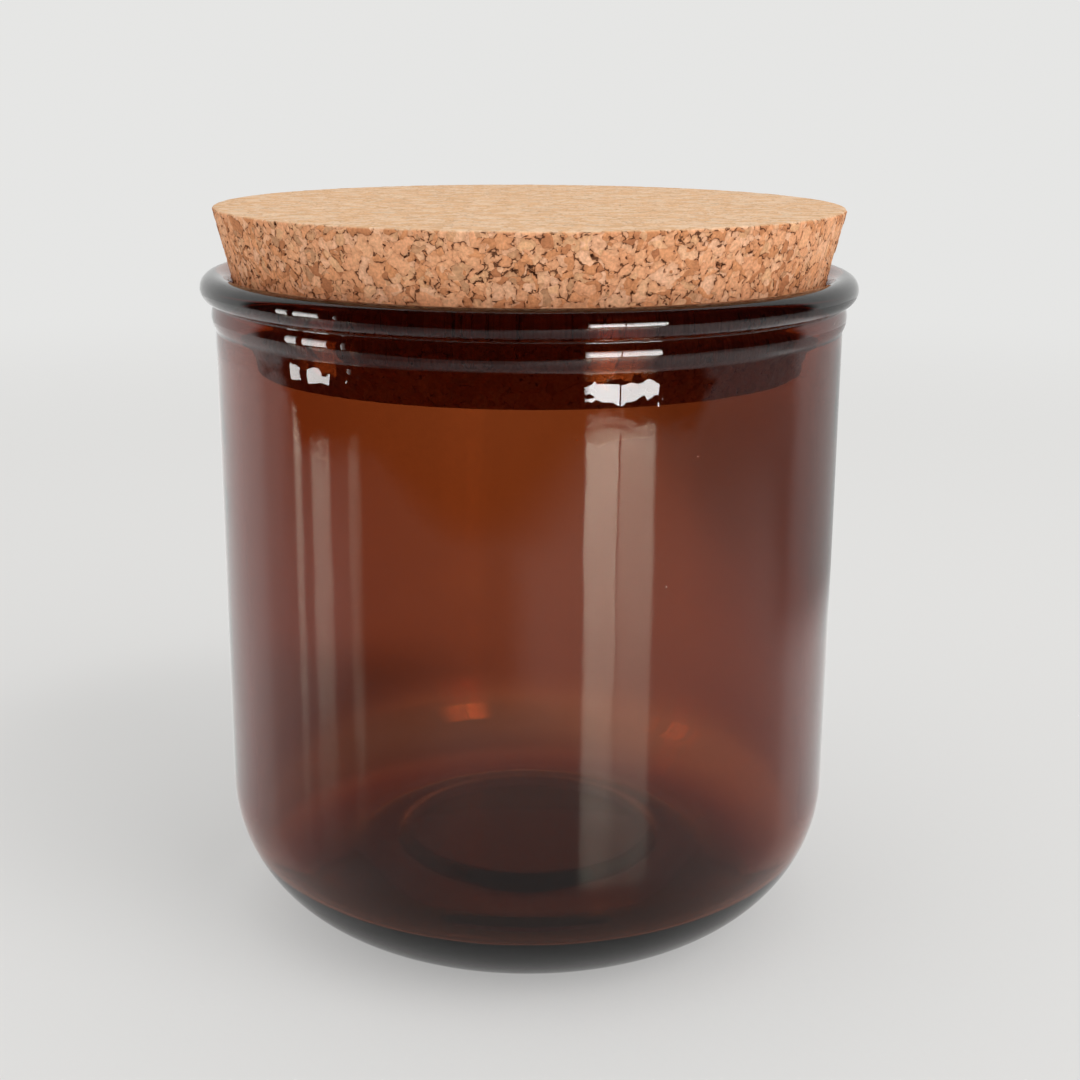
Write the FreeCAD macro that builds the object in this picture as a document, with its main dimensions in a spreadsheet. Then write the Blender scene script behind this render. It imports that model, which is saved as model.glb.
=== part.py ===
import FreeCAD, Part
import Sketcher
import math
import os

# A pressed glass jar, closed by a tapered cork that wedges in its mouth.
# The jar stands on the XY plane with its axis on Z, and the cork sits above it on the same axis.

DRIVING_SIZES = (
    ("jar_height", 108.2, "table to the top of the rim"),
    ("body_diameter", 100.2, "outside of the straight wall"),
    ("wall_thickness", 3.5, "glass at the foot of the wall"),
    ("neck_thickness", 3.0, "glass at the mouth, also the radius of the rounded lip"),
    ("rim_roll_radius", 2.25, "half round bead under the top of the rim"),
    ("collar_height", 4.05, "ring under the bead"),
    ("collar_bulge", 0.6, "how far the ring stands out from the wall"),
    ("collar_foot_radius", 1.6, "blend from the ring to the wall"),
    ("groove_radius", 0.3, "blend in the groove between bead and ring"),
    ("base_thickness", 8.5, "table to the cavity, where the inside corner ends"),
    ("base_corner_radius", 24.1, "outside corner between wall and underside"),
    ("floor_corner_radius", 10.5, "inside corner between wall and floor"),
    ("floor_rise", 2.5, "swell of the floor from the inside corner to the foot of its crown"),
    ("crown_radius", 19.5, "flat middle of the floor"),
    ("crown_step_width", 4.5, "ring that slopes up to the flat middle"),
    ("crown_step_rise", 1.4, "height of the flat middle above the foot of that ring"),
    ("foot_ring_width", 1.5, "flat ring that the jar stands on"),
    ("foot_hollow_depth", 1.5, "hollow inside the foot ring"),
    ("cork_thickness", 25.0, "top face to bottom face"),
    ("cork_insertion", 14.85, "how deep the cork hangs below the top of the rim"),
    ("cork_taper_share", 0.252, "radius gained for each unit of height"),
    ("cork_edge_radius", 0.4, "worn edges of the cork"),
    ("seat_clearance", 0.25, "gap between the cork and the lip it wedges against"),
)

# Radii and heights that the jar and the cork share, as formulas of the driving sizes.
BODY_RADIUS = "sizes.body_diameter / 2"
MOUTH_RADIUS = f"{BODY_RADIUS} - sizes.neck_thickness"
CAVITY_RADIUS = f"{BODY_RADIUS} - sizes.wall_thickness"
FLOOR_EDGE_RADIUS = f"{CAVITY_RADIUS} - sizes.floor_corner_radius"
CROWN_FOOT_RADIUS = "sizes.crown_radius + sizes.crown_step_width"
CROWN_FOOT_HEIGHT = "sizes.base_thickness + sizes.floor_rise"
CROWN_HEIGHT = f"{CROWN_FOOT_HEIGHT} + sizes.crown_step_rise"
FOOT_RADIUS = f"{BODY_RADIUS} - sizes.base_corner_radius"
HOLLOW_RADIUS = f"{FOOT_RADIUS} - sizes.foot_ring_width"
BEAD_HEIGHT = "sizes.jar_height - sizes.rim_roll_radius"
GROOVE_HEIGHT = "sizes.jar_height - 2 * sizes.rim_roll_radius"
COLLAR_FOOT_HEIGHT = f"{GROOVE_HEIGHT} - sizes.collar_height"
LIP_HEIGHT = "sizes.jar_height - sizes.neck_thickness"
CORK_SEAT_HEIGHT = "sizes.jar_height - sizes.cork_insertion"

# The cork's cone runs along the rounded lip at the seat clearance, measured square to the cone.
LIP_REACH = "(sizes.neck_thickness + sizes.seat_clearance) * sqrt(1 + sizes.cork_taper_share ^ 2)"
PLUG_DROP = "(sizes.cork_insertion - sizes.neck_thickness) * sizes.cork_taper_share"
PLUG_RADIUS = f"{BODY_RADIUS} - {LIP_REACH} - {PLUG_DROP}"
LID_RADIUS = f"{PLUG_RADIUS} + sizes.cork_thickness * sizes.cork_taper_share"

# Side of the line of travel on which an arc's centre lies.
LEFT = 1
RIGHT = -1


def arc_over_chord(chord, rise):
    """Formula for the radius of an arc that rises by a given height over its chord."""
    return f"(({chord}) ^ 2 / 4 + ({rise}) ^ 2) / (2 * ({rise}))"


def swelling(name, outer_radius, inner_radius, low, rise):
    """Corners of a smooth rise towards the axis, as two equal arcs that meet half way."""
    arc = f"(({outer_radius} - ({inner_radius})) ^ 2 + ({rise}) ^ 2) / (4 * ({rise}))"
    half_way = f"({outer_radius} + {inner_radius}) / 2"
    return (
        (f"{name}_foot", outer_radius, low, (arc, RIGHT)),
        (f"{name}_middle", half_way, f"{low} + ({rise}) / 2", (arc, LEFT)),
    )


def size_sheet(document):
    """Puts the driving sizes, in millimetres, into a sheet with one named row each."""
    sheet = document.addObject("Spreadsheet::Sheet", "sizes")
    for row, (alias, size, meaning) in enumerate(DRIVING_SIZES, start=1):
        sheet.set(f"A{row}", alias)
        sheet.set(f"B{row}", str(size))
        sheet.set(f"C{row}", meaning)
        sheet.setAlias(f"B{row}", alias)
    document.recompute()
    return sheet


def number(formula):
    """Present value of a formula of the driving sizes."""
    return float(sheet.evalExpression(formula))


def section_edge(start, end, bend):
    """Straight run from start to end, or an arc with its centre on the bend's side."""
    if bend is None:
        return Part.LineSegment(start, end)
    formula, side = bend
    radius = number(formula)
    half_chord = (end - start) * (1 / 2)
    to_left = FreeCAD.Vector(-half_chord.y, half_chord.x, 0).normalize()
    height = math.sqrt(max(radius ** 2 - half_chord.Length ** 2, 0))
    centre = start + half_chord + to_left * (side * height)
    first, last = (start, end) if side == LEFT else (end, start)
    first_angle = math.atan2(first.y - centre.y, first.x - centre.x)
    last_angle = math.atan2(last.y - centre.y, last.x - centre.x)
    circle = Part.Circle(centre, FreeCAD.Vector(0, 0, 1), radius)
    return Part.ArcOfCircle(circle, first_angle, last_angle)


def pin_corner(sketch, edge, point, axis_geometry, kind, formula, name):
    """Holds one coordinate of a corner on an axis, or at the distance a formula gives."""
    if formula == "0":
        sketch.addConstraint(Sketcher.Constraint("PointOnObject", edge, point, axis_geometry))
        return
    constraint = sketch.addConstraint(Sketcher.Constraint(kind, edge, point, number(formula)))
    sketch.renameConstraint(constraint, name)
    sketch.setExpression(f"Constraints.{name}", formula)


def half_section(body, name, corners):
    """Closed half section in the body's XZ plane, through named corners in order.

    Each corner is (name, radius, height, bend): bend is None where a straight run leads to the next
    corner, or else the arc's radius and the side of its centre.
    """
    sketch = body.newObject("Sketcher::SketchObject", name)
    plane = next(feature for feature in body.Origin.OriginFeatures if feature.Role == "XZ_Plane")
    sketch.AttachmentSupport = (plane, "")
    sketch.MapMode = "FlatFace"
    radius_axis, turning_axis = -1, -2
    places = [FreeCAD.Vector(number(radius), number(height), 0) for _, radius, height, _ in corners]
    ends = []
    for index, (corner, radius, height, bend) in enumerate(corners):
        edge = sketch.addGeometry(section_edge(places[index], places[(index + 1) % len(places)], bend))
        start, end = (2, 1) if bend is not None and bend[1] == RIGHT else (1, 2)
        ends.append((edge, start, end))
        pin_corner(sketch, edge, start, turning_axis, "DistanceX", radius, f"{corner}_radius")
        pin_corner(sketch, edge, start, radius_axis, "DistanceY", height, f"{corner}_height")
        if bend is not None:
            constraint = sketch.addConstraint(Sketcher.Constraint("Radius", edge, number(bend[0])))
            sketch.renameConstraint(constraint, f"{corner}_arc")
            sketch.setExpression(f"Constraints.{corner}_arc", bend[0])
    for index, (edge, _, end) in enumerate(ends):
        next_edge, next_start, _ = ends[(index + 1) % len(ends)]
        sketch.addConstraint(Sketcher.Constraint("Coincident", edge, end, next_edge, next_start))
    doc.recompute()
    return sketch


def turned_body(label, corners):
    """Body made by turning a half section once about Z."""
    body = doc.addObject("PartDesign::Body", label)
    body.Label = label
    section = half_section(body, f"{label}_section", corners)
    revolution = body.newObject("PartDesign::Revolution", f"{label}_revolution")
    revolution.Profile = section
    revolution.ReferenceAxis = (section, ["V_Axis"])
    revolution.Angle = 360
    doc.recompute()
    return body


def ring_edge(shape, radius, height):
    """Name of the round edge about Z with a given radius and height."""
    def miss(edge):
        if edge.Degenerated or not isinstance(edge.Curve, Part.Circle):
            return math.inf
        return abs(edge.Curve.Radius - radius) + abs(edge.Curve.Center.z - height)
    nearest = min(range(len(shape.Edges)), key=lambda index: miss(shape.Edges[index]))
    return f"Edge{nearest + 1}"


def round_off(body, name, rings, radius_formula):
    """Rounds the ring edges at the given (radius, height) formulas."""
    base = body.Tip
    edges = [ring_edge(base.Shape, number(radius), number(height)) for radius, height in rings]
    fillet = body.newObject("PartDesign::Fillet", name)
    fillet.Base = (base, edges)
    fillet.setExpression("Radius", radius_formula)
    doc.recompute()


def glass_jar():
    """Jar with a rolled rim, a ring below it, a straight wall and a heavy base that swells up inside."""
    collar_arc = arc_over_chord("sizes.collar_height", "sizes.collar_bulge")
    hollow_arc = arc_over_chord(f"2 * ({HOLLOW_RADIUS})", "sizes.foot_hollow_depth")
    floor_corner_height = "sizes.base_thickness + sizes.floor_corner_radius"
    body = turned_body("glass_jar", (
        ("hollow_top", "0", "sizes.foot_hollow_depth", (hollow_arc, RIGHT)),
        ("foot_inside", HOLLOW_RADIUS, "0", None),
        ("foot_outside", FOOT_RADIUS, "0", ("sizes.base_corner_radius", LEFT)),
        ("wall_foot", BODY_RADIUS, "sizes.base_corner_radius", None),
        ("collar_foot", BODY_RADIUS, COLLAR_FOOT_HEIGHT, (collar_arc, LEFT)),
        ("groove", BODY_RADIUS, GROOVE_HEIGHT, ("sizes.rim_roll_radius", LEFT)),
        ("bead", f"{BODY_RADIUS} + sizes.rim_roll_radius", BEAD_HEIGHT, ("sizes.rim_roll_radius", LEFT)),
        ("lip", BODY_RADIUS, "sizes.jar_height", ("sizes.neck_thickness", LEFT)),
        ("mouth", MOUTH_RADIUS, LIP_HEIGHT, None),
        ("cavity_foot", CAVITY_RADIUS, floor_corner_height, ("sizes.floor_corner_radius", RIGHT)),
        *swelling(
            "floor", FLOOR_EDGE_RADIUS, CROWN_FOOT_RADIUS, "sizes.base_thickness", "sizes.floor_rise"
        ),
        *swelling(
            "crown", CROWN_FOOT_RADIUS, "sizes.crown_radius", CROWN_FOOT_HEIGHT, "sizes.crown_step_rise"
        ),
        ("crown_edge", "sizes.crown_radius", CROWN_HEIGHT, None),
        ("floor_centre", "0", CROWN_HEIGHT, None),
    ))
    round_off(body, "collar_foot_blend", [(BODY_RADIUS, COLLAR_FOOT_HEIGHT)], "sizes.collar_foot_radius")
    round_off(body, "groove_blend", [(BODY_RADIUS, GROOVE_HEIGHT)], "sizes.groove_radius")
    return body


def cork_lid():
    """Tapered cork, placed where its cone meets the lip of the mouth."""
    body = turned_body("cork_lid", (
        ("plug_middle", "0", "0", None),
        ("plug_edge", PLUG_RADIUS, "0", None),
        ("lid_edge", LID_RADIUS, "sizes.cork_thickness", None),
        ("lid_middle", "0", "sizes.cork_thickness", None),
    ))
    worn_edges = [(PLUG_RADIUS, "0"), (LID_RADIUS, "sizes.cork_thickness")]
    round_off(body, "worn_edges", worn_edges, "sizes.cork_edge_radius")
    body.setExpression("Placement.Base.z", CORK_SEAT_HEIGHT)
    doc.recompute()
    return body


def write_parts(bodies):
    """Writes each sound sub-part to its own file."""
    for thing in doc.Objects:
        if "Invalid" in thing.State or "Error" in thing.State:
            raise RuntimeError(f"{thing.Name} failed to build: {thing.State}")
    for body in bodies:
        if body.Shape.isNull() or not body.Shape.isValid():
            raise RuntimeError(f"{body.Label} is not a sound solid")
    os.makedirs("parts", exist_ok=True)
    for body in bodies:
        body.Shape.exportStep(f"parts/{body.Label}.step")
        print(body.Label, "volume in cubic millimetres:", round(body.Shape.Volume, 1))


doc = FreeCAD.newDocument("glass_jar_with_cork_lid")
sheet = size_sheet(doc)
write_parts([glass_jar(), cork_lid()])
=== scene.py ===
"""Brown glass jar closed by a tapered cork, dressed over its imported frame.

Lengths are in metres. The jar stands on the XY plane with its axis on Z, and the photograph looks along +Y.
"""

import logging
import math
from dataclasses import dataclass, field
from enum import Enum

import bmesh
import bpy
from mathutils import Matrix, Vector


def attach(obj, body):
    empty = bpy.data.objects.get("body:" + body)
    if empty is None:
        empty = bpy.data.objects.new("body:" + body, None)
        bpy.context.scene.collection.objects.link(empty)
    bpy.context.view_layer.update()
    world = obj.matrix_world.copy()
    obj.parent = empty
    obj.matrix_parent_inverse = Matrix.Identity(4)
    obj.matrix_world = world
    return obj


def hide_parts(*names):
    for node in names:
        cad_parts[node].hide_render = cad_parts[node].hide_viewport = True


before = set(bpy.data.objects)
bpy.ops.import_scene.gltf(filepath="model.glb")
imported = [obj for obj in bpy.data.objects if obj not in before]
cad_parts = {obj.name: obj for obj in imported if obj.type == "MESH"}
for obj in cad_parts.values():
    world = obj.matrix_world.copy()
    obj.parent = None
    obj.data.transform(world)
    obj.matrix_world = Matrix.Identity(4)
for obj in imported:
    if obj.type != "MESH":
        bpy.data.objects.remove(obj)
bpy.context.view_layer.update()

LOG = logging.getLogger("jar")
Socket = bpy.types.NodeSocket
PHOTO_SIDE = 1080
WELD_DISTANCE = 1e-6
ROOF_HOLE = 0.001


class Body(Enum):
    """CAD bodies that the pieces ride on."""

    JAR = "jar"
    LID = "lid"


class Node(Enum):
    """CAD nodes that the pieces stand for."""

    GLASS_JAR = "glass_jar"
    CORK_LID = "cork_lid"


class Slot(Enum):
    """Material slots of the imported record."""

    BROWN_GLASS = "brown_glass"
    CORK = "cork"


class Mark(Enum):
    """What the cork keeps from before its relief was cut."""

    PLACE = "granule_place"
    SANDED = "sanded"


class Wiring:
    """Adds nodes to one node tree and joins them."""

    def __init__(self, tree: bpy.types.NodeTree) -> None:
        """Keeps the tree.

        Args:
            tree: A shader or geometry node tree.
        """
        self.tree = tree

    def add(self, kind: str, settings: dict | None = None, inputs: dict | None = None) -> bpy.types.Node:
        """Adds a node.

        Args:
            kind: Blender's name for the kind of node.
            settings: Values of the node's own properties.
            inputs: Values for its sockets, by name or place. A socket as the value is joined.

        Returns:
            The new node.
        """
        node = self.tree.nodes.new(kind)
        for name, value in (settings or {}).items():
            setattr(node, name, value)
        for name, value in (inputs or {}).items():
            if isinstance(value, Socket):
                self.tree.links.new(value, node.inputs[name])
            else:
                node.inputs[name].default_value = value
        return node

    def math(self, operation: str, *values: object) -> Socket:
        """Adds a number operation and returns its result."""
        return self.add("ShaderNodeMath", {"operation": operation}, dict(enumerate(values))).outputs[0]

    def vector(self, operation: str, *values: object) -> Socket:
        """Adds a vector operation and returns its vector."""
        node = self.add("ShaderNodeVectorMath", {"operation": operation}, dict(enumerate(values)))
        return node.outputs[0]

    def scaled(self, vector: object, scale: object) -> Socket:
        """Multiplies a vector by a number and returns the result."""
        node = self.add("ShaderNodeVectorMath", {"operation": "SCALE"}, {0: vector, "Scale": scale})
        return node.outputs[0]

    def noise(self, place: object, grain: float, detail: float = 2.0) -> bpy.types.Node:
        """Adds a cloudy noise.

        Args:
            place: Socket with the place in space.
            grain: Length of one wave.
            detail: How many finer layers it has.

        Returns:
            The noise node.
        """
        inputs = {"Vector": place, "Scale": 1 / grain, "Detail": detail}
        return self.add("ShaderNodeTexNoise", {"noise_dimensions": "3D"}, inputs)

    def ease(self, value: object, low: object, high: object, start: float, end: float) -> Socket:
        """Eases from start to end as value goes from low to high.

        Args:
            value: Socket that is read.
            low: Where the ease begins.
            high: Where it ends.
            start: Result at low.
            end: Result at high.

        Returns:
            The eased number.
        """
        inputs = {"Value": value, "From Min": low, "From Max": high, "To Min": start, "To Max": end}
        return self.add("ShaderNodeMapRange", {"interpolation_type": "SMOOTHSTEP"}, inputs).outputs[0]

    def between(self, share: object, start: float, end: float) -> Socket:
        """Eases from start to end as a share goes from 0 to 1, and returns the eased number."""
        return self.ease(share, 0.0, 1.0, start, end)

    def times(self, result: object, *others: object) -> Socket:
        """Multiplies numbers.

        Args:
            result: First number or socket.
            others: What it is multiplied by, in turn.

        Returns:
            The product.
        """
        for other in others:
            result = self.math("MULTIPLY", result, other)
        return result

    def mix_number(self, share: object, first: object, second: object) -> Socket:
        """Mixes two numbers by a share and returns the result."""
        inputs = {0: share, 2: first, 3: second}
        return self.add("ShaderNodeMix", {"data_type": "FLOAT"}, inputs).outputs[0]

    def mix_colour(self, share: object, first: object, second: object) -> Socket:
        """Mixes two colours by a share and returns the result."""
        inputs = {0: share, 6: first, 7: second}
        return self.add("ShaderNodeMix", {"data_type": "RGBA"}, inputs).outputs[2]

    def own_place(self) -> Socket:
        """Gives the place in the object's own space."""
        return self.add("ShaderNodeTexCoord").outputs["Object"]

    def parts(self, vector: object) -> bpy.types.bpy_prop_collection:
        """Splits a vector and returns its X, Y and Z sockets."""
        return self.add("ShaderNodeSeparateXYZ", inputs={0: vector}).outputs

    def distance(self, place: object, point: tuple = (0.0, 0.0, 0.0)) -> Socket:
        """Gives how far a place is from a point."""
        node = self.add("ShaderNodeVectorMath", {"operation": "DISTANCE"}, {0: place, 1: point})
        return node.outputs["Value"]

    def off(self, value: object, middle: float) -> Socket:
        """Gives how far a number is from a middle, to either side."""
        return self.math("ABSOLUTE", self.math("SUBTRACT", value, middle))

    def turn(self, place: object) -> Socket:
        """Gives a place's angle round Z, in degrees from the camera's side, positive to the right."""
        parts = self.parts(place)
        return self.math("DEGREES", self.math("ARCTAN2", parts["X"], self.times(parts["Y"], -1.0)))

    def reflected(self, often: int = 1) -> Socket:
        """Tells whether a surface is seen after so many reflections, as 1, or after fewer, as 0."""
        bounces = self.add("ShaderNodeLightPath").outputs["Glossy Depth"]
        return self.math("GREATER_THAN", bounces, often - 0.5)

    def through_glass(self) -> Socket:
        """Tells whether a surface is seen through glass, as 1, or not, as 0."""
        passes = self.add("ShaderNodeLightPath").outputs["Transmission Depth"]
        return self.math("GREATER_THAN", passes, 0.5)

    def shown_by(self, share: object, shader: Socket) -> Socket:
        """Lets a share of a shader show, clear where the share is 0, and returns the result."""
        clear = self.add("ShaderNodeBsdfTransparent").outputs[0]
        return self.add("ShaderNodeMixShader", inputs={0: share, 1: clear, 2: shader}).outputs[0]

    def ramp(self, value: object, stops: tuple) -> Socket:
        """Colours a number.

        Args:
            value: Socket that is read.
            stops: Pairs of a place from 0 to 1 and a colour.

        Returns:
            The colour.
        """
        node = self.add("ShaderNodeValToRGB", inputs={0: value})
        elements = node.color_ramp.elements
        while len(elements) < len(stops):
            elements.new(0.5)
        for element, (place, colour) in zip(elements, stops):
            element.position = place
            element.color = (*colour, 1.0)
        return node.outputs[0]


def only_verts(items: list) -> list[bmesh.types.BMVert]:
    """Picks the vertices out of what a mesh operator made."""
    return [item for item in items if isinstance(item, bmesh.types.BMVert)]


class SectionPen:
    """Traces a half section in the XZ plane, from vertex to vertex."""

    def __init__(self, mesh: bmesh.types.BMesh, radius: float, height: float) -> None:
        """Sets the first vertex.

        Args:
            mesh: Mesh that takes the section.
            radius: Distance from the axis.
            height: Height above the table.
        """
        self.mesh = mesh
        self.tip = bmesh.ops.create_vert(mesh, co=(radius, 0, height))["vert"][0]

    def line_to(self, radius: float, height: float, runs: int = 1) -> None:
        """Draws a straight line in equal runs.

        Args:
            radius: Distance of its end from the axis.
            height: Height of its end.
            runs: How many edges it has.
        """
        step = (Vector((radius, 0, height)) - self.tip.co) / runs
        for _ in range(runs):
            self.tip = bmesh.ops.extrude_vert_indiv(self.mesh, verts=[self.tip])["verts"][0]
            bmesh.ops.translate(self.mesh, verts=[self.tip], vec=step)

    def arc_about(self, radius: float, height: float, turn: float, steps: int) -> None:
        """Draws an arc round a centre.

        Args:
            radius: Distance of the centre from the axis.
            height: Height of the centre.
            turn: Angle in radians, positive from outwards to upwards.
            steps: How many edges it has.
        """
        made = bmesh.ops.spin(
            self.mesh, geom=[self.tip], cent=(radius, 0, height), axis=(0, -1, 0), angle=turn, steps=steps
        )
        self.tip = only_verts(made["geom_last"])[0]

    def swell_to(self, radius: float, rise: float, steps: int) -> None:
        """Draws a smooth rise towards the axis, as two equal arcs that meet half way.

        Args:
            radius: Distance of its end from the axis.
            rise: Height that it gains.
            steps: How many edges each arc has.
        """
        start = self.tip.co.copy()
        run = start.x - radius
        arc = (run**2 + rise**2) / (4 * rise)
        turn = math.asin(run / (2 * arc))
        self.arc_about(start.x, start.z + arc, -turn, steps)
        self.arc_about(radius, start.z + rise - arc, turn, steps)


def turn_on_axis(mesh: bmesh.types.BMesh, sides: int) -> None:
    """Turns a half section about Z into a closed skin that faces outwards.

    An eighth is spun, and then doubled three times, which is much quicker than one long spin.

    Args:
        mesh: Mesh that holds the section.
        sides: How many faces go round, a multiple of 8.
    """
    section = mesh.verts[:] + mesh.edges[:]
    turn = math.tau / 8
    bmesh.ops.spin(mesh, geom=section, cent=(0, 0, 0), axis=(0, 0, 1), angle=turn, steps=sides // 8)
    for _ in range(3):
        whole = mesh.verts[:] + mesh.edges[:] + mesh.faces[:]
        moved = only_verts(bmesh.ops.duplicate(mesh, geom=whole)["geom"])
        bmesh.ops.rotate(mesh, verts=moved, cent=(0, 0, 0), matrix=Matrix.Rotation(turn, 3, "Z"))
        turn *= 2
    bmesh.ops.remove_doubles(mesh, verts=mesh.verts[:], dist=WELD_DISTANCE)
    bmesh.ops.recalc_face_normals(mesh, faces=mesh.faces[:])
    for face in mesh.faces:
        face.smooth = True


def new_object(name: str, mesh: bmesh.types.BMesh) -> bpy.types.Object:
    """Makes an object at the origin from a finished mesh.

    Args:
        name: Name of the object.
        mesh: Mesh that is used up.

    Returns:
        The object, linked to the scene.
    """
    data = bpy.data.meshes.new(name)
    mesh.to_mesh(data)
    mesh.free()
    made = bpy.data.objects.new(name, data)
    bpy.context.scene.collection.objects.link(made)
    return made


def empty_material(name: str) -> tuple[bpy.types.Material, Wiring, bpy.types.Node]:
    """Makes a material with nothing but its output.

    Args:
        name: Name of the material.

    Returns:
        The material, its wiring and its output node.
    """
    material = bpy.data.materials.new(name)
    material.use_nodes = True
    material.node_tree.nodes.clear()
    wiring = Wiring(material.node_tree)
    return material, wiring, wiring.add("ShaderNodeOutputMaterial")


@dataclass(frozen=True)
class BrownGlass:
    """Pressed brown glass, a little uneven, more so below the rim."""

    refraction: float = 1.52
    tint: tuple = (0.725, 0.397, 0.096, 1.0)
    density: float = 800.0
    ripple: float = 0.0055
    ripple_height: float = 0.000035
    swell: float = 0.016
    swell_height: float = 0.00008
    seed_spacing: float = 0.0075
    seed_radius: float = 0.00028
    seed_height: float = 0.00005
    shoulder: tuple = (0.078, 0.093)
    wall_ripple: float = 0.10
    rim: tuple = (0.0985, 0.1030)
    rim_ripple: float = 0.20

    def seeds(self, wiring: Wiring, place: Socket) -> Socket:
        """Scatters the small blisters that the melt leaves in the skin of the glass.

        Args:
            wiring: Tree of the glass.
            place: Socket with the place in the jar.

        Returns:
            Height of the blisters.
        """
        inputs = {"Vector": place, "Scale": 1 / self.seed_spacing}
        cells = wiring.add("ShaderNodeTexVoronoi", {"feature": "F1"}, inputs)
        reach = wiring.times(cells.outputs["Distance"], self.seed_spacing)
        return wiring.ease(reach, 0.0, self.seed_radius, self.seed_height, 0.0)

    def material(self) -> bpy.types.Material:
        """Builds the material.

        Returns:
            The glass, clear at its skin and brown inside.
        """
        material, wiring, output = empty_material("brown_glass")
        place = wiring.own_place()
        height = wiring.parts(place)["Z"]
        ripple = wiring.times(
            wiring.noise(place, self.ripple).outputs[0],
            self.ripple_height,
            wiring.ease(height, *self.shoulder, self.wall_ripple, 1.0),
            wiring.ease(height, *self.rim, 1.0, self.rim_ripple),
        )
        swell = wiring.times(wiring.noise(place, self.swell, detail=1.0).outputs[0], self.swell_height)
        relief = wiring.math("ADD", ripple, swell)
        relief = wiring.math("ADD", relief, self.seeds(wiring, place))
        bump = wiring.add("ShaderNodeBump", inputs={"Strength": 1.0, "Distance": 1.0, "Height": relief})
        glass = wiring.add(
            "ShaderNodeBsdfPrincipled",
            inputs={
                "Base Color": (1.0, 1.0, 1.0, 1.0),
                "Roughness": 0.0,
                "IOR": self.refraction,
                "Transmission Weight": 1.0,
                "Normal": bump.outputs[0],
            },
        )
        inputs = {"Color": self.tint, "Density": self.density}
        body = wiring.add("ShaderNodeVolumeAbsorption", inputs=inputs)
        wiring.tree.links.new(glass.outputs[0], output.inputs["Surface"])
        wiring.tree.links.new(body.outputs[0], output.inputs["Volume"])
        return material


@dataclass(frozen=True)
class GranuleSockets:
    """What the granule pattern gives at each place."""

    tone: Socket
    rim: Socket
    gap: Socket
    void: Socket
    grain: Socket


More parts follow.
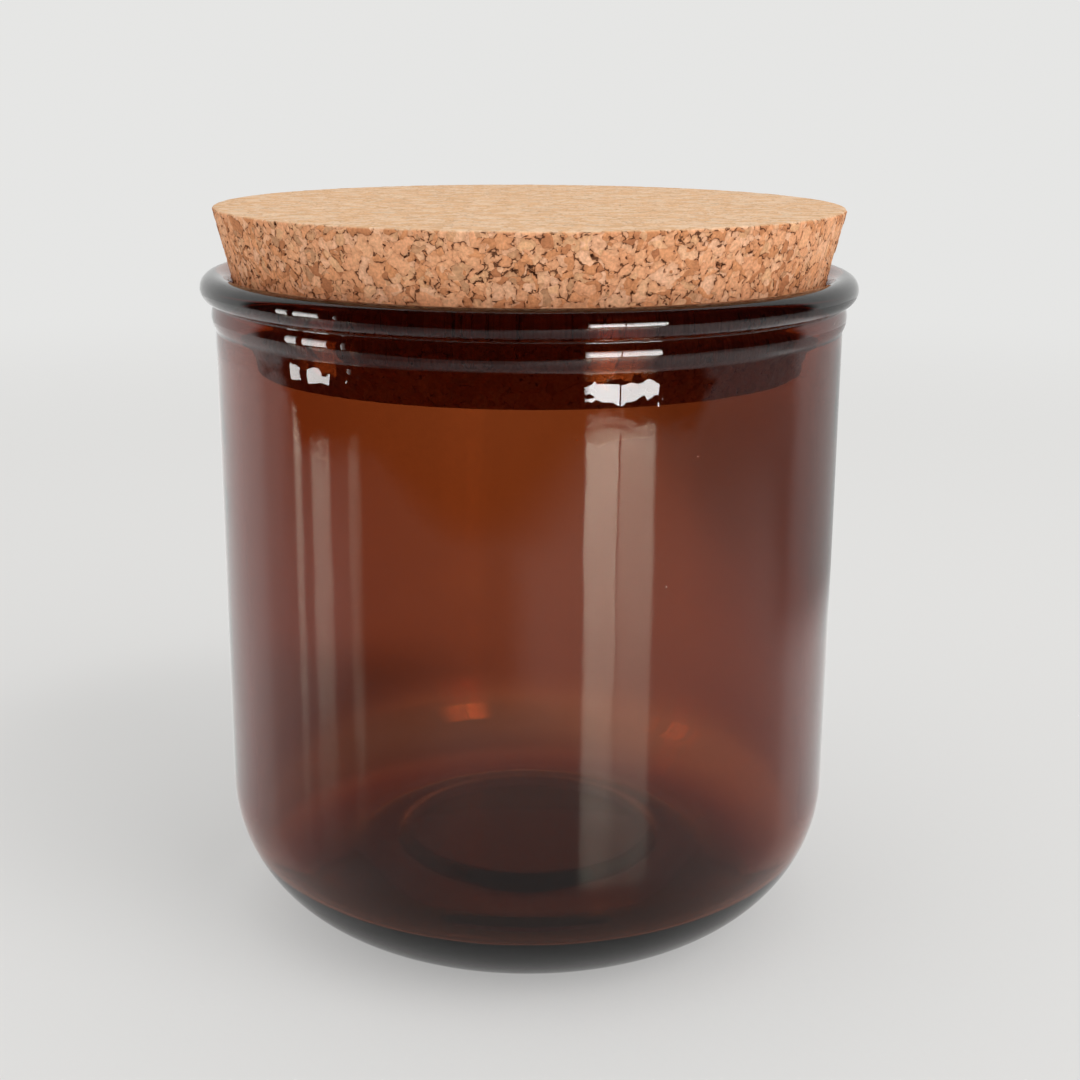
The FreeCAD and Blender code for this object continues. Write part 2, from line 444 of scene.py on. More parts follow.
@dataclass(frozen=True)
class BondedCork:
    """Cork granules pressed together, with short crevices and small voids between them.

    A pair is where a change begins and ends, and shades of four numbers add what it gives at each end.
    """

    granules: tuple = (0.0031, 0.0020, 0.0012)
    patch: float = 0.0042
    small_from: tuple = (0.46, 0.47)
    smallest_from: tuple = (0.56, 0.57)
    bend: float = 0.0030
    bend_reach: float = 0.0020
    fray: float = 0.0008
    fray_reach: float = 0.00060
    breaks: float = 0.0009
    broken_from: tuple = (0.48, 0.64)
    rim_width: float = 0.00050
    rim_unbroken: float = 0.35
    crevice_width: float = 0.00007
    crevice_core: float = 0.30
    crevice_spread: float = 1.6
    crevice_least: float = 0.00001
    crevice_depth: float = 0.00025
    void_from: tuple = (0.60, 0.74)
    void_width: float = 0.00022
    void_depth: float = 0.00060
    step_depth: float = 0.00016
    grain_depth: float = 0.00005
    grain_shades: tuple = (0.25, 0.75, 0.78, 1.15)
    bump: float = 0.8
    roughness: float = 0.85
    gloss: float = 0.05
    tones: tuple = (
        (0.00, (0.46, 0.180, 0.082)),
        (0.08, (0.60, 0.255, 0.115)),
        (0.20, (0.75, 0.330, 0.150)),
        (0.38, (0.82, 0.390, 0.205)),
        (0.58, (0.84, 0.425, 0.225)),
        (0.76, (0.90, 0.510, 0.315)),
        (0.90, (0.83, 0.455, 0.240)),
        (1.00, (0.53, 0.280, 0.150)),
    )
    # Partly the granules' own browner borders and partly painted shade between the granules.
    border_brown_and_shade: tuple = (0.43, 0.165, 0.075, 1.0)
    border_cover: float = 0.75
    # Painted shade: crevices and voids between the granules are painted nearly black.
    crevice: tuple = (0.060, 0.020, 0.010, 1.0)
    crevice_shades: tuple = (0.0, 0.6, 0.85, 1.0)
    sanded_slope: tuple = (0.60, 0.95)
    sanded_tones: tuple = ((0.79, 0.530, 0.310, 1.0), (0.82, 0.620, 0.430, 1.0))
    sanded_split: tuple = (0.2, 0.8)
    sanded_cover: float = 0.75
    sanded_even: float = 0.4
    sanded_depth: float = 0.25
    sanded_border: float = 0.12
    sanded_crevice: float = 0.25
    # Painted shade: in the mouth of the jar the cork is painted darker, and its marks and relief are kept
    # fainter.
    mouth_shade_tone: tuple = (0.38, 0.175, 0.085, 1.0)
    pressed_edge: tuple = (0.1025, 0.1080)
    mouth_shade_cover: float = 0.5
    mouth_shade: float = 0.75
    pressed_depth: float = 0.6
    pressed_border: float = 0.7
    pressed_crevice: float = 0.6
    # Painted shade: a ring of the cork at the height of the rim is painted darker.
    rim_shade_level: float = 0.65
    rim_shade_foot: tuple = (0.0982, 0.1008)
    rim_shade_head: tuple = (0.1050, 0.1082)

    def lay(self, wiring: Wiring, place: Socket) -> GranuleSockets:
        """Lays the granule pattern in a shader or a geometry tree.

        Args:
            wiring: Tree that takes the nodes.
            place: Socket with the place in the cork.

        Returns:
            The pattern's sockets.
        """
        true_place = place
        for grain, reach in ((self.bend, self.bend_reach), (self.fray, self.fray_reach)):
            drift = wiring.vector("SUBTRACT", wiring.noise(place, grain).outputs[1], (0.5, 0.5, 0.5))
            place = wiring.vector("ADD", place, wiring.scaled(drift, reach))
        tones, edges = [], []
        for size in self.granules:
            inputs = {"Vector": place, "Scale": 1 / size}
            cells = wiring.add("ShaderNodeTexVoronoi", {"feature": "F1"}, inputs)
            rims = wiring.add("ShaderNodeTexVoronoi", {"feature": "DISTANCE_TO_EDGE"}, inputs)
            tones.append(wiring.parts(cells.outputs["Color"])[0])
            edges.append(wiring.times(rims.outputs["Distance"], size))
        choice = wiring.noise(true_place, self.patch).outputs[0]
        small = wiring.ease(choice, *self.small_from, 0.0, 1.0)
        smallest = wiring.ease(choice, *self.smallest_from, 0.0, 1.0)
        tone, edge = (
            wiring.mix_number(smallest, wiring.mix_number(small, large, middling), fine)
            for large, middling, fine in (tones, edges)
        )
        breaks = wiring.noise(true_place, self.breaks).outputs[0]
        broken = wiring.ease(breaks, *self.broken_from, 0.0, 1.0)
        void = wiring.ease(wiring.noise(place, self.patch / 2).outputs[0], *self.void_from, 0.0, 1.0)
        rim = wiring.ease(edge, 0.0, self.rim_width, 1.0, 0.0)
        rim = wiring.times(rim, wiring.between(broken, self.rim_unbroken, 1.0))
        width = wiring.math("MULTIPLY_ADD", void, self.void_width, self.crevice_width)
        width = wiring.times(broken, width)
        core = wiring.times(width, self.crevice_core)
        outer = wiring.math("MULTIPLY_ADD", width, self.crevice_spread, self.crevice_least)
        gap = wiring.ease(edge, core, outer, 1.0, 0.0)
        grain = wiring.noise(true_place, self.fray / 2, detail=4.0).outputs[0]
        return GranuleSockets(tone, rim, gap, void, grain)

    def pressed(self, wiring: Wiring, place: Socket) -> Socket:
        """Finds the part in the mouth of the jar, which is rubbed smooth and painted darker as shade.

        Args:
            wiring: Tree that takes the nodes.
            place: Socket with the place in the cork.

        Returns:
            1 in the mouth, 0 above it.
        """
        height = wiring.parts(place)["Z"]
        return wiring.ease(height, *self.pressed_edge, 1.0, 0.0)

    def rim_shade(self, wiring: Wiring, place: Socket) -> Socket:
        """Paints shade on a ring of the cork at the height of the rim.

        Args:
            wiring: Tree that takes the nodes.
            place: Socket with the place in the cork.

        Returns:
            1 away from the ring, less on it.
        """
        height = wiring.parts(place)["Z"]
        below = wiring.ease(height, *self.rim_shade_foot, 1.0, self.rim_shade_level)
        above = wiring.ease(height, *self.rim_shade_head, self.rim_shade_level, 1.0)
        return wiring.math("MAXIMUM", below, above)

    def relief(self) -> bpy.types.NodeTree:
        """Builds the geometry tree that sinks the voids and steps the granules.

        Returns:
            The tree, which also keeps the marks that the material reads.
        """
        tree = bpy.data.node_groups.new("granule_relief", "GeometryNodeTree")
        tree.interface.new_socket("Geometry", in_out="INPUT", socket_type="NodeSocketGeometry")
        tree.interface.new_socket("Geometry", in_out="OUTPUT", socket_type="NodeSocketGeometry")
        wiring = Wiring(tree)
        start = wiring.add("NodeGroupInput").outputs[0]
        place = wiring.add("GeometryNodeInputPosition").outputs[0]
        normal = wiring.add("GeometryNodeInputNormal").outputs[0]
        upright = wiring.math("ABSOLUTE", wiring.parts(normal)["Z"])
        sanded = wiring.ease(upright, *self.sanded_slope, 0.0, 1.0)
        pattern = self.lay(wiring, place)
        sunk = wiring.times(pattern.gap, pattern.void, self.void_depth)
        depth = wiring.times(
            wiring.math("MULTIPLY_ADD", pattern.tone, self.step_depth, sunk),
            wiring.between(sanded, -1.0, -self.sanded_depth),
            wiring.between(self.pressed(wiring, place), 1.0, self.pressed_depth),
        )
        kept = start
        for mark, kind, value in ((Mark.PLACE, "FLOAT_VECTOR", place), (Mark.SANDED, "FLOAT", sanded)):
            kept = wiring.add(
                "GeometryNodeStoreNamedAttribute",
                {"data_type": kind, "domain": "POINT"},
                {"Geometry": kept, "Name": mark.value, "Value": value},
            ).outputs[0]
        inputs = {"Geometry": kept, "Offset": wiring.scaled(normal, depth)}
        moved = wiring.add("GeometryNodeSetPosition", inputs=inputs).outputs[0]
        wiring.add("NodeGroupOutput", inputs={0: moved})
        return tree

    def material(self) -> bpy.types.Material:
        """Builds the material, which reads the marks kept before the relief was cut.

        Returns:
            The cork, paler where it is sanded, with painted shade in the mouth of the jar and on a ring at
            the rim.
        """
        material, wiring, output = empty_material("bonded_cork")
        place = wiring.add("ShaderNodeAttribute", {"attribute_name": Mark.PLACE.value}).outputs["Vector"]
        sanded = wiring.add("ShaderNodeAttribute", {"attribute_name": Mark.SANDED.value}).outputs["Fac"]
        pressed = self.pressed(wiring, place)
        pattern = self.lay(wiring, place)
        split = wiring.ease(pattern.tone, *self.sanded_split, 0.0, 1.0)
        pale = wiring.mix_colour(split, *self.sanded_tones)
        colour = wiring.ramp(pattern.tone, self.tones)
        colour = wiring.mix_colour(wiring.times(sanded, self.sanded_cover), colour, pale)
        # Painted shade in the mouth of the jar.
        colour = wiring.mix_colour(wiring.times(pressed, self.mouth_shade_cover), colour, self.mouth_shade_tone)
        shade = wiring.ease(pattern.grain, *self.grain_shades)
        # The grain's shade, then painted shade in the mouth of the jar and on the ring at the rim.
        shade = wiring.times(
            wiring.mix_number(wiring.times(sanded, self.sanded_even), shade, 1.0),
            wiring.between(pressed, 1.0, self.mouth_shade),
            self.rim_shade(wiring, place),
        )
        # Browner borders and painted shade along the granule edges.
        border_share = wiring.times(
            pattern.rim,
            wiring.between(sanded, self.border_cover, self.sanded_border),
            wiring.between(pressed, 1.0, self.pressed_border),
        )
        colour = wiring.mix_colour(border_share, wiring.scaled(colour, shade), self.border_brown_and_shade)
        # Painted shade in the crevices and voids, which the bump also sinks.
        dark = wiring.times(
            pattern.gap,
            wiring.ease(pattern.void, *self.crevice_shades),
            wiring.between(sanded, 1.0, self.sanded_crevice),
            wiring.between(pressed, 1.0, self.pressed_crevice),
        )
        sunk = wiring.times(dark, -self.crevice_depth)
        relief = wiring.math("MULTIPLY_ADD", pattern.grain, self.grain_depth, sunk)
        inputs = {"Strength": self.bump, "Distance": 1.0, "Height": relief}
        bump = wiring.add("ShaderNodeBump", inputs=inputs)
        cork = wiring.add(
            "ShaderNodeBsdfPrincipled",
            inputs={
                "Base Color": wiring.mix_colour(dark, colour, self.crevice),
                "Roughness": self.roughness,
                "Specular IOR Level": self.gloss,
                "Normal": bump.outputs[0],
            },
        )
        wiring.tree.links.new(cork.outputs[0], output.inputs["Surface"])
        return material


@dataclass
class GlassJar:
    """Jar with a rolled rim, a ring below it, a straight wall and a heavy base."""

    height: float = 0.1082
    radius: float = 0.0501
    wall: float = 0.0035
    neck: float = 0.0030
    bead: float = 0.00225
    collar_height: float = 0.00405
    collar_bulge: float = 0.0006
    collar_foot: float = 0.0016
    groove: float = 0.0003
    base: float = 0.0085
    base_corner: float = 0.0241
    floor_corner: float = 0.0105
    floor_rise: float = 0.0025
    crown: float = 0.0195
    crown_step: float = 0.0045
    crown_rise: float = 0.0014
    foot_ring: float = 0.0015
    foot_hollow: float = 0.0015
    sides: int = 256
    finish: BrownGlass = field(default_factory=BrownGlass)

    def trace(self, mesh: bmesh.types.BMesh) -> None:
        """Traces the half section, from under the foot round the rim to the middle of the floor.

        Args:
            mesh: Mesh that takes the section.
        """
        foot = self.radius - self.base_corner
        hollow = foot - self.foot_ring
        dome = (hollow**2 + self.foot_hollow**2) / (2 * self.foot_hollow)
        pen = SectionPen(mesh, 0.0, self.foot_hollow)
        pen.arc_about(0.0, self.foot_hollow - dome, -math.asin(hollow / dome), steps=12)
        pen.line_to(foot, 0.0)
        pen.arc_about(foot, self.base_corner, math.pi / 2, steps=36)
        self.trace_rim(pen)
        cavity = self.radius - self.wall
        floor_turn = self.base + self.floor_corner
        pen.line_to(cavity, floor_turn, runs=30)
        pen.arc_about(cavity - self.floor_corner, floor_turn, -math.pi / 2, steps=30)
        pen.swell_to(self.crown + self.crown_step, self.floor_rise, steps=10)
        pen.swell_to(self.crown, self.crown_rise, steps=8)
        pen.line_to(0.0, self.base + self.floor_rise + self.crown_rise, runs=8)

    def trace_rim(self, pen: SectionPen) -> None:
        """Traces the wall, the ring, the groove, the bead and the rounded lip.

        Args:
            pen: Pen that stands at the foot of the wall.
        """
        bead_height = self.height - self.bead
        ring_middle = self.height - 2 * self.bead - self.collar_height / 2
        ring = (self.collar_height**2 / 4 + self.collar_bulge**2) / (2 * self.collar_bulge)
        ring_radius = self.radius + self.collar_bulge - ring
        blend_radius = self.radius + self.collar_foot
        lean = math.acos((blend_radius - ring_radius) / (ring + self.collar_foot))
        blend_height = ring_middle - (ring + self.collar_foot) * math.sin(lean)
        pen.line_to(self.radius, blend_height, runs=36)
        pen.arc_about(blend_radius, blend_height, -lean, steps=6)
        groove_lean, groove_place, bead_lean = self.groove_centre(
            Vector((ring_radius, ring_middle)), ring + self.groove,
            Vector((self.radius, bead_height)), self.bead + self.groove,
        )
        pen.arc_about(ring_radius, ring_middle, lean + groove_lean, steps=12)
        pen.arc_about(*groove_place, bead_lean - groove_lean, steps=6)
        pen.arc_about(self.radius, bead_height, math.pi / 2 - bead_lean, steps=24)
        pen.arc_about(self.radius, self.height - self.neck, math.pi / 2, steps=14)

    @staticmethod
    def groove_centre(
        ring: Vector, ring_reach: float, bead: Vector, bead_reach: float
    ) -> tuple[float, Vector, float]:
        """Finds the centre of the groove's blend, which touches the ring and the bead.

        Args:
            ring: Centre of the ring's arc, as radius and height.
            ring_reach: Distance from there to the blend's centre.
            bead: Centre of the bead's arc.
            bead_reach: Distance from there to the blend's centre.

        Returns:
            Direction from the ring to the blend, the blend's centre, and direction from the bead to it.
        """
        between = bead - ring
        share = (ring_reach**2 - bead_reach**2 + between.length_squared) / (2 * between.length)
        along = between.normalized()
        outward = Vector((along.y, -along.x))
        place = ring + along * share + outward * math.sqrt(ring_reach**2 - share**2)
        from_ring, from_bead = place - ring, place - bead
        return math.atan2(from_ring.y, from_ring.x), place, math.atan2(from_bead.y, from_bead.x)

    def build(self) -> bpy.types.Object:
        """Builds and dresses the jar.

        Returns:
            The finished piece.
        """
        mesh = bmesh.new()
        self.trace(mesh)
        turn_on_axis(mesh, self.sides)
        piece = new_object("brown_glass_jar", mesh)
        piece.data.materials.append(self.finish.material())
        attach(piece, Body.JAR.value)
        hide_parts(Node.GLASS_JAR.value)
        return piece


@dataclass
class CorkLid:
    """Tapered cork that wedges in the mouth."""

    bottom: float = 0.09335
    thickness: float = 0.0250
    plug_radius: float = 0.04376
    taper: float = 0.252
    edge: float = 0.0004
    sides: int = 704
    finish: BondedCork = field(default_factory=BondedCork)

    def trace(self, mesh: bmesh.types.BMesh) -> None:
        """Traces the half section, from the middle of the underside to the middle of the top.

        Args:
            mesh: Mesh that takes the section.
        """
        lean = math.atan(self.taper)
        top = self.bottom + self.thickness
        lid_radius = self.plug_radius + self.taper * self.thickness
        low = self.plug_radius - self.edge * math.tan((math.pi / 2 - lean) / 2)
        high = lid_radius - self.edge * math.tan((math.pi / 2 + lean) / 2)
        pen = SectionPen(mesh, 0.0, self.bottom)
        pen.line_to(low, self.bottom, runs=20)
        pen.arc_about(low, self.bottom + self.edge, math.pi / 2 - lean, steps=3)
        half = self.thickness / 2
        pen.line_to(self.plug_radius + self.taper * half, self.bottom + half, runs=18)
        turn_height = top - self.edge
        side_end = turn_height - self.edge * math.sin(lean)
        pen.line_to(high + self.edge * math.cos(lean), side_end, runs=48)
        pen.arc_about(high, turn_height, math.pi / 2 + lean, steps=3)
        pen.line_to(0.0, top, runs=36)

    def build(self) -> bpy.types.Object:
        """Builds and dresses the cork.

        Returns:
            The finished piece.
        """
        mesh = bmesh.new()
        self.trace(mesh)
        turn_on_axis(mesh, self.sides)
        blank = new_object("tapered_cork", mesh)
        blank.modifiers.new("granules", "NODES").node_group = self.finish.relief()
        shown = blank.evaluated_get(bpy.context.evaluated_depsgraph_get())
        cut = bpy.data.meshes.new_from_object(shown)
        blank.modifiers.clear()
        blank.data = cut
        blank.data.materials.append(self.finish.material())
        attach(blank, Body.LID.value)
        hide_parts(Node.CORK_LID.value)
        return blank


@dataclass(frozen=True)
class Sheet:
    """Upright bent sheet round the jar, which shows only in reflections.

    Angles are in degrees from the camera's side of the jar, positive to the right.
    """

    name: str
    start: float
    end: float
    low: float
    high: float
    distance: float
    glow: tuple
    roofed: bool = False
    soft_edge: float = 3.0

    def build(self) -> bpy.types.Object:
        """Stands the sheet.

        Returns:
            The sheet, without its material.
        """
        mesh = bmesh.new()
        first, last = math.radians(self.start), math.radians(self.end)
        foot = Vector((math.sin(first) * self.distance, -math.cos(first) * self.distance, self.low))
        vert = bmesh.ops.create_vert(mesh, co=foot)["vert"][0]
        bmesh.ops.spin(mesh, geom=[vert], cent=(0, 0, 0), axis=(0, 0, 1), angle=last - first, steps=32)
        raised = only_verts(bmesh.ops.extrude_edge_only(mesh, edges=mesh.edges[:])["geom"])
        bmesh.ops.translate(mesh, verts=raised, vec=(0, 0, self.high - self.low))
        if self.roofed:
            top = [edge for edge in mesh.edges if all(vert in raised for vert in edge.verts)]
            roof = only_verts(bmesh.ops.extrude_edge_only(mesh, edges=top)["geom"])
            bmesh.ops.scale(mesh, verts=roof, vec=(ROOF_HOLE, ROOF_HOLE, 1.0))
        made = new_object(self.name, mesh)
        made.visible_camera = False
        made.visible_diffuse = False
        made.visible_shadow = False
        return made

    def solid(self, wiring: Wiring) -> Socket:
        """Gives how solid the sheet is at each place.

        Args:
            wiring: Tree of the sheet's material.

        Returns:
            1 on the sheet, less towards its soft side edges, and 0 before a reflection.
        """
        middle, half = (self.start + self.end) / 2, (self.end - self.start) / 2
        aside = wiring.off(wiring.turn(wiring.own_place()), middle)
        inside = wiring.ease(aside, half - self.soft_edge, half, 1.0, 0.0)
        return wiring.times(wiring.reflected(), inside)

    def colour(self, wiring: Wiring) -> object:
        """Gives the colour of the sheet's glow."""
        return (*self.glow, 1.0)

    def strength(self, wiring: Wiring) -> object:
        """Gives how strongly the sheet glows at each place."""
        return 1.0

    def dress(self) -> bpy.types.Object:
        """Stands the sheet and makes it glow.

        Returns:
            The sheet.
        """
        made = self.build()
        material, wiring, output = empty_material(self.name)
        inputs = {"Color": self.colour(wiring), "Strength": self.strength(wiring)}
        light = wiring.add("ShaderNodeEmission", inputs=inputs).outputs[0]
        wiring.tree.links.new(wiring.shown_by(self.solid(wiring), light), output.inputs["Surface"])
        material.cycles.emission_sampling = "NONE"
        made.data.materials.append(material)
        return made


@dataclass(frozen=True)
class Window(Sheet):
    """Bright sheet that fades towards its top.

    Its glow is what reaches the glass by way of the floor, stronger at its foot, and straight is what
    reaches it without the floor. Into the jar it shines as a soft spot, with a middle and a half width.
    """

    straight: tuple = (17.5, 17.2, 16.9)
    fade: tuple = (0.10, 0.24)
    floor_fade: tuple = (0.10, 0.24)
    floor_edges: tuple = (2.2, 2.2)
    foot: tuple = (0.02, 0.04)
    foot_glow: float = 1.0
    inside_glow: float = 1.4
    inside_over_floor: float = 0.25
    inside_spot: tuple = (31.0, 14.0)
    inside_core: float = 0.3

    def solid(self, wiring: Wiring) -> Socket:
        """Gives how solid the window is at each place.

        Args:
            wiring: Tree of the window's material.

        Returns:
            1 on the window, less towards its sides by way of the floor, and 0 before a reflection.
        """
        turn = wiring.turn(wiring.own_place())
        left, right = self.floor_edges
        inside = wiring.times(
            wiring.ease(turn, self.start, self.start + left, 0.0, 1.0),
            wiring.ease(turn, self.end - right, self.end, 1.0, 0.0),
        )
        inside = wiring.mix_number(wiring.reflected(often=2), 1.0, inside)
        return wiring.times(wiring.reflected(), inside)

    def colour(self, wiring: Wiring) -> Socket:
        """Gives the colour of the window's glow, which is whiter straight from outside the jar."""
        warm = wiring.math("MAXIMUM", wiring.reflected(often=2), wiring.through_glass())
        return wiring.mix_colour(warm, (*self.straight, 1.0), (*self.glow, 1.0))

    def strength(self, wiring: Wiring) -> Socket:
        """Gives how strongly the window glows, by height, and as a soft spot into the jar.

        Args:
            wiring: Tree of the window's material.

        Returns:
            What its glow is multiplied by.
        """
        place = wiring.own_place()
        height = wiring.parts(place)["Z"]
        over_floor = wiring.reflected(often=2)
        straight = wiring.ease(height, *self.fade, 1.0, 0.0)
        mirrored = wiring.times(
            wiring.ease(height, *self.floor_fade, 1.0, 0.0),
            wiring.ease(height, *self.foot, self.foot_glow, 1.0),
        )
        outside = wiring.mix_number(over_floor, straight, mirrored)
        middle, half = self.inside_spot
        aside = wiring.off(wiring.turn(place), middle)
        inside = wiring.times(
            wiring.ease(aside, self.inside_core * half, half, self.inside_glow, 0.0),
            wiring.between(over_floor, 1.0, self.inside_over_floor),
        )
        return wiring.mix_number(wiring.through_glass(), outside, inside)


@dataclass(frozen=True)
class Card(Sheet):
    """Dark card with a rounded outline, and a thin veil below it that paints shade on the floor that the
    glass mirrors.
    """

    outline_middle: float = -18.0
    outline_low: float = 0.036
    outline_bend: float = 2.04e-5
    outline_blur: tuple = (-0.010, 0.020)
    veil_middle: float = -29.0
    veil_sides: tuple = (20.0, 34.0)
    veil_foot: tuple = (0.0, 0.02)
    veil_cover: float = 0.62

    def solid(self, wiring: Wiring) -> Socket:
        """Gives how solid the card is at each place.

        Args:
            wiring: Tree of the card's material.

        Returns:
            1 above the outline, less in the veil, and 0 before a reflection.
        """
        place = wiring.own_place()
        height = wiring.parts(place)["Z"]
        turn = wiring.turn(place)
        aside = wiring.math("SUBTRACT", turn, self.outline_middle)
        squared = wiring.times(aside, aside)
        outline = wiring.math("MULTIPLY_ADD", squared, self.outline_bend, self.outline_low)
        above = wiring.math("SUBTRACT", height, outline)
        card = wiring.ease(above, *self.outline_blur, 0.0, 1.0)
        # Painted shade: the veil dims the floor that the glass mirrors in front.
        veil = wiring.times(
            wiring.ease(wiring.off(turn, self.veil_middle), *self.veil_sides, self.veil_cover, 0.0),
            wiring.ease(height, *self.veil_foot, 0.0, 1.0),
        )
        return wiring.times(super().solid(wiring), wiring.math("MAXIMUM", card, veil))


@dataclass(frozen=True)
class PaleFloor:
    """Pale, softly lit floor that fades out away from the jar, and has other shades in the glass.

    Four numbers are a fade: where it begins, where it ends, and what it gives at each.
    """

    radius: float = 1.2
    colour: tuple = (0.43, 0.4275, 0.4225)
    glow: float = 0.79
    roughness: float = 0.15
    mirrored_gloss: float = 0.85
    shown: tuple = (0.36, 0.80, 1.0, 0.0)
    mirrored: tuple = (0.46, 0.55, 1.0, 0.0)
    left_nearer: tuple = (-60.0, 20.0, 0.06, 0.0)
    sides_middle: float = -13.0
    sides_farther: tuple = (68.0, 86.0, 0.0, 0.18)
    shadow_place: tuple = (-0.055, 0.06, 0.0)
    shadow: tuple = (0.03, 0.10, 1.0, 0.0)
    shadow_start: tuple = (0.045, 0.060, 0.0, 1.0)
    shadow_shade: float = 0.94
    right: tuple = (0.030, 0.085, 0.0, 1.0)
    right_away: tuple = (0.12, 0.34, 0.3, 1.0)
    through_shade: float = 0.58
    front_sides: tuple = (0.025, 0.065, 0.56, 0.8)
    front_foot: tuple = (0.036, 0.058, 0.8, 0.5)
    front_beyond: tuple = (0.26, 0.52, 1.0, 0.5)
    front_leaving: tuple = (0.09, 0.22, 0.0, 1.0)
    dim_place: tuple = (-0.12, -0.11, 0.0)
    dim: tuple = (0.02, 0.10, 0.55, 1.0)
    back_right: tuple = (-0.10, 0.10, 0.0, 1.0)
    back_far: tuple = (0.17, 0.24, 0.0, 1.0)
    back_shades: tuple = (1.17, 0.5)
    front_to_back: tuple = (-0.03, 0.06, 0.0, 1.0)

    def build(self) -> bpy.types.Object:
        """Lays the floor.

        Returns:
            The floor.
        """
        mesh = bmesh.new()
        bmesh.ops.create_circle(mesh, cap_ends=True, segments=96, radius=self.radius)
        made = new_object("floor", mesh)
        made.data.materials.append(self.material())
        return made

    def material(self) -> bpy.types.Material:
        """Builds the material.

        Returns:
            The floor's paint, which is glossy only in the glass.
        """
        material, wiring, output = empty_material("pale_floor")
        place = wiring.own_place()
        away = wiring.distance(place)
        reflected = wiring.reflected()
        seen = self.seen_shade(wiring, place, away)
        shade = wiring.mix_number(reflected, seen, self.mirrored_shade(wiring, place, away))
        colour = wiring.scaled(self.colour, shade)
        inputs = {
            "Base Color": colour,
            "Roughness": self.roughness,
            "Specular IOR Level": wiring.times(reflected, self.mirrored_gloss),
            "Emission Color": colour,
            "Emission Strength": self.glow,
        }
        paint = wiring.add("ShaderNodeBsdfPrincipled", inputs=inputs).outputs[0]
        shown = wiring.ease(away, *self.shown)
        mirrored = self.mirrored_part(wiring, place, away)
        laid = wiring.shown_by(wiring.mix_number(reflected, shown, mirrored), paint)
        wiring.tree.links.new(laid, output.inputs["Surface"])
        material.cycles.emission_sampling = "NONE"
        return material

    def mirrored_part(self, wiring: Wiring, place: Socket, away: Socket) -> Socket:
        """Finds the part of the floor that the glass mirrors.

        Args:
            wiring: Tree of the floor's material.
            place: Socket with the place on the floor.
            away: Socket with the distance from the jar's axis.

        Returns:
            1 on the part, and 0 beyond its edge, which is nearer at the left and farther at the sides.
        """
        turn = wiring.turn(place)
        to_edge = wiring.math("ADD", away, wiring.ease(turn, *self.left_nearer))
        aside = wiring.off(turn, self.sides_middle)
        to_edge = wiring.math("SUBTRACT", to_edge, wiring.ease(aside, *self.sides_farther))
        return wiring.ease(to_edge, *self.mirrored)

    def seen_shade(self, wiring: Wiring, place: Socket, away: Socket) -> Socket:
        """Shades the floor by the jar's shadow to the left, which is deeper through the glass.

        Args:
            wiring: Tree of the floor's material.
            place: Socket with the place on the floor.
            away: Socket with the distance from the jar's axis.

        Returns:
            What the floor's colour is multiplied by. Through the glass the far right is dark too.
        """
        shadow = wiring.times(
            wiring.ease(wiring.distance(place, self.shadow_place), *self.shadow),
            wiring.ease(away, *self.shadow_start),
        )
        far_right = wiring.ease(wiring.parts(place)["X"], *self.right)
        far_right = wiring.times(far_right, wiring.ease(away, *self.right_away))
        behind = wiring.between(wiring.math("MAXIMUM", shadow, far_right), 1.0, self.through_shade)
        straight = wiring.between(shadow, 1.0, self.shadow_shade)
        return wiring.mix_number(wiring.through_glass(), straight, behind)

    def mirrored_shade(self, wiring: Wiring, place: Socket, away: Socket) -> Socket:
        """Shades the floor that the glass mirrors.

        Args:
            wiring: Tree of the floor's material.
            place: Socket with the place on the floor.
            away: Socket with the distance from the jar's axis.

        Returns:
            What the floor's colour is multiplied by: less in front of the jar, and far behind it at
            the right.
        """
        parts = wiring.parts(place)
        beside = wiring.ease(wiring.math("ABSOLUTE", parts["X"]), *self.front_sides)
        near = wiring.math("MAXIMUM", beside, wiring.ease(away, *self.front_foot))
        beyond = wiring.ease(away, *self.front_beyond)
        front = wiring.mix_number(wiring.ease(away, *self.front_leaving), near, beyond)
        front = wiring.times(front, wiring.ease(wiring.distance(place, self.dim_place), *self.dim))
        far_right = wiring.ease(parts["X"], *self.back_right)
        far_right = wiring.times(far_right, wiring.ease(away, *self.back_far))
        back = wiring.mix_number(far_right, *self.back_shades)
        return wiring.mix_number(wiring.ease(parts["Y"], *self.front_to_back), front, back)


@dataclass(frozen=True)
class Lamp:
    """Soft square lamp that points at the jar and doesn't show in the glass."""

    name: str
    place: tuple
    side: float
    watts: float
    aim: tuple = (0.0, 0.0, 0.06)

    def build(self) -> bpy.types.Object:
        """Hangs the lamp.

        Returns:
            The lamp.
        """
        light = bpy.data.lights.new(self.name, "AREA")
        light.size = self.side
        light.energy = self.watts
        made = bpy.data.objects.new(self.name, light)
        made.location = self.place
        ahead = Vector(self.aim) - Vector(self.place)
        made.rotation_euler = ahead.to_track_quat("-Z", "Y").to_euler()
        made.visible_camera = False
        made.visible_glossy = False
        made.visible_transmission = False
        bpy.context.scene.collection.objects.link(made)
        return made


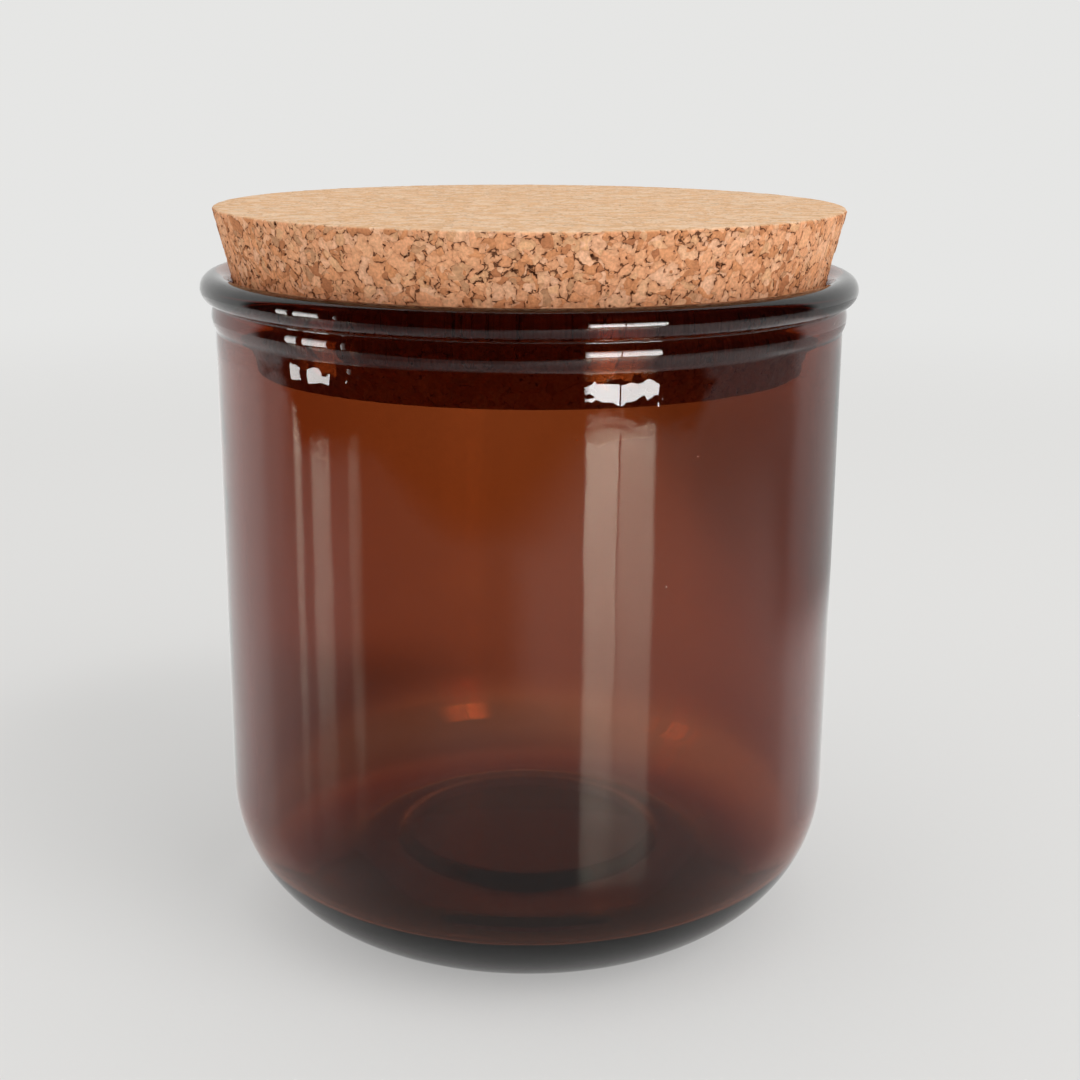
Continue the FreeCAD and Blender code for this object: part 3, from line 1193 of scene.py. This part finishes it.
@dataclass
class Studio:
    """Pale floor, what the glass reflects, pale surroundings and soft lamps."""

    floor: PaleFloor = PaleFloor()
    windows: tuple = (
        Window(
            "right_window_near", 18.0, 30.0, -0.005, 0.40, 0.60, (14.4, 13.8, 11.2),
            floor_fade=(0.0, 0.40), floor_edges=(1.2, 0.1),
        ),
        Window(
            "right_window_far", 30.5, 44.0, -0.005, 0.40, 0.60, (8.9, 8.5, 6.9),
            straight=(15.8, 15.5, 15.2), foot_glow=1.4, floor_fade=(0.0, 0.40), floor_edges=(0.1, 2.0),
        ),
        Window(
            "left_window_near", -65.0, -58.5, 0.0, 0.40, 0.60, (4.75, 4.55, 3.65),
            straight=(7.6, 7.45, 7.2), foot_glow=2.4, inside_spot=(-75.0, 17.0),
        ),
        Window(
            "left_window_middle", -81.5, -71.0, 0.0, 0.40, 0.60, (5.2, 4.95, 4.05),
            straight=(10.4, 10.2, 9.9), foot_glow=2.2, inside_spot=(-75.0, 17.0),
        ),
        Window(
            "left_window_far", -90.0, -84.5, 0.0, 0.40, 0.60, (4.75, 4.55, 3.65),
            straight=(8.6, 8.45, 8.2), foot_glow=2.4, inside_spot=(-75.0, 17.0),
        ),
    )
    room: Sheet = Sheet(
        "dark_room", -113.0, 113.0, -0.60, 1.60, 0.95, (0.022, 0.018, 0.016), roofed=True, soft_edge=9.0
    )
    card: Card = Card("dark_card", -58.0, 17.5, 0.0, 0.40, 0.16, (0.012, 0.010, 0.009))
    backdrop: tuple = (0.79, 0.79, 0.78, 1.0)
    lamps: tuple = (
        Lamp("right_lamp", (0.85, -0.75, 0.75), 1.1, 8.0),
        Lamp("left_lamp", (-0.85, -0.60, 0.60), 0.8, 1.2),
    )

    def world(self) -> None:
        """Makes the pale surroundings."""
        world = bpy.data.worlds.new("studio")
        bpy.context.scene.world = world
        world.use_nodes = True
        world.node_tree.nodes.clear()
        wiring = Wiring(world.node_tree)
        light = wiring.add("ShaderNodeBackground", inputs={"Color": self.backdrop})
        wiring.add("ShaderNodeOutputWorld", inputs={"Surface": light.outputs[0]})

    def build(self) -> None:
        """Sets up the floor, the sheets, the surroundings and the lamps."""
        self.floor.build()
        for sheet in (*self.windows, self.room, self.card):
            sheet.dress()
        self.world()
        for lamp in self.lamps:
            lamp.build()


@dataclass
class PhotoCamera:
    """Camera where the photograph was taken from."""

    place: tuple = (0.0, -0.285, 0.13877)
    focal_pixels: float = 1759.6
    pitch: float = 14.911
    yaw: float = 0.379
    roll: float = 0.30
    sensor: float = 36.0
    nearest: float = 0.01

    def build(self) -> bpy.types.Object:
        """Builds the camera and makes it the scene's own.

        Returns:
            The camera.
        """
        pitch, yaw, roll = (math.radians(angle) for angle in (self.pitch, self.yaw, self.roll))
        ahead = Vector((math.sin(yaw) * math.cos(pitch), math.cos(yaw) * math.cos(pitch), -math.sin(pitch)))
        right = Vector((math.cos(yaw), -math.sin(yaw), 0))
        above = right.cross(ahead)
        across = math.cos(roll) * right + math.sin(roll) * above
        upward = math.cos(roll) * above - math.sin(roll) * right
        data = bpy.data.cameras.new("photo_camera")
        data.sensor_width = self.sensor
        data.lens = self.focal_pixels / PHOTO_SIDE * self.sensor
        data.clip_start = self.nearest
        camera = bpy.data.objects.new("photo_camera", data)
        turn = Matrix((across, upward, -ahead)).transposed().to_4x4()
        camera.matrix_world = Matrix.Translation(self.place) @ turn
        bpy.context.scene.collection.objects.link(camera)
        bpy.context.scene.camera = camera
        return camera


def main() -> None:
    """Builds the pieces, the studio and the camera in order."""
    logging.basicConfig(level=logging.INFO)
    for maker in (GlassJar(), CorkLid()):
        piece = maker.build()
        LOG.info("%s: %d faces", piece.name, len(piece.data.polygons))
    Studio().build()
    PhotoCamera().build()
    bpy.context.scene.view_settings.view_transform = "Standard"


if __name__ == "__main__":
    main()
